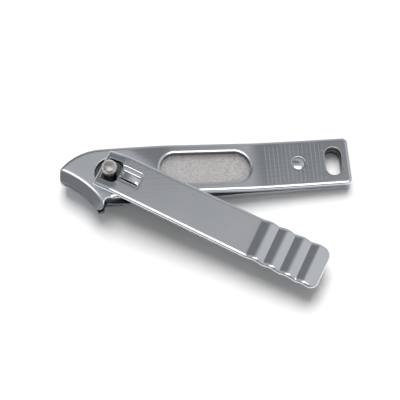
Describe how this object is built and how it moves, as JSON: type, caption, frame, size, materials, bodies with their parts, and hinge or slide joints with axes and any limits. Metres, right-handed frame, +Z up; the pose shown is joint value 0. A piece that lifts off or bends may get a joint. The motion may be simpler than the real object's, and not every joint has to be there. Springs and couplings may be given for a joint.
{
  "type": "nail clipper",
  "caption": "Slant-jaw nail clipper: two bowed sheet-metal arms riveted at the rear, a file plate in a window, a notched post and a swing-out thumb lever",
  "frame": {"origin": "on the axis of the post, in the plane of the post's foot, which is also the plane of the lower arm's crown", "axes": "+X along the arms from the post to the key-ring slot, +Y to the side away from the swung-out lever, +Z up along the post to its head; the middle plane between the arms is level"},
  "size_m": [0.0801, 0.0434, 0.0145],
  "materials": {
    "plated_steel": "bright nickel or chrome plate, finely brushed",
    "file_surface": "fine etched abrasive grit"
  },
  "bodies": {
    "lower_arm": {"lower_arm": "plated_steel", "rear_rivet": "plated_steel"},
    "upper_arm": {"upper_arm": "plated_steel", "file_plate": "file_surface"},
    "post": {"post": "plated_steel"},
    "lever": {"lever": "plated_steel"}
  },
  "joints": [
    {"name": "squeeze", "type": "hinge", "parent": "lower_arm", "child": "upper_arm", "pos_m": [0.052, 0, 0.0049], "axis": [0, -1, 0], "range_deg": [0, 2.13], "stiffness_Nm_per_rad": 10},
    {"name": "post_turn", "type": "hinge", "parent": "lower_arm", "child": "post", "pos_m": [0, 0, 0], "axis": [0, 0, 1], "continuous": true},
    {"name": "lever_tilt", "type": "hinge", "parent": "post", "child": "lever", "pos_m": [-0.00166, 0.00096, 0.0106], "axis": [-0.5, -0.866, 0], "range_deg": [0, 160]}
  ]
}
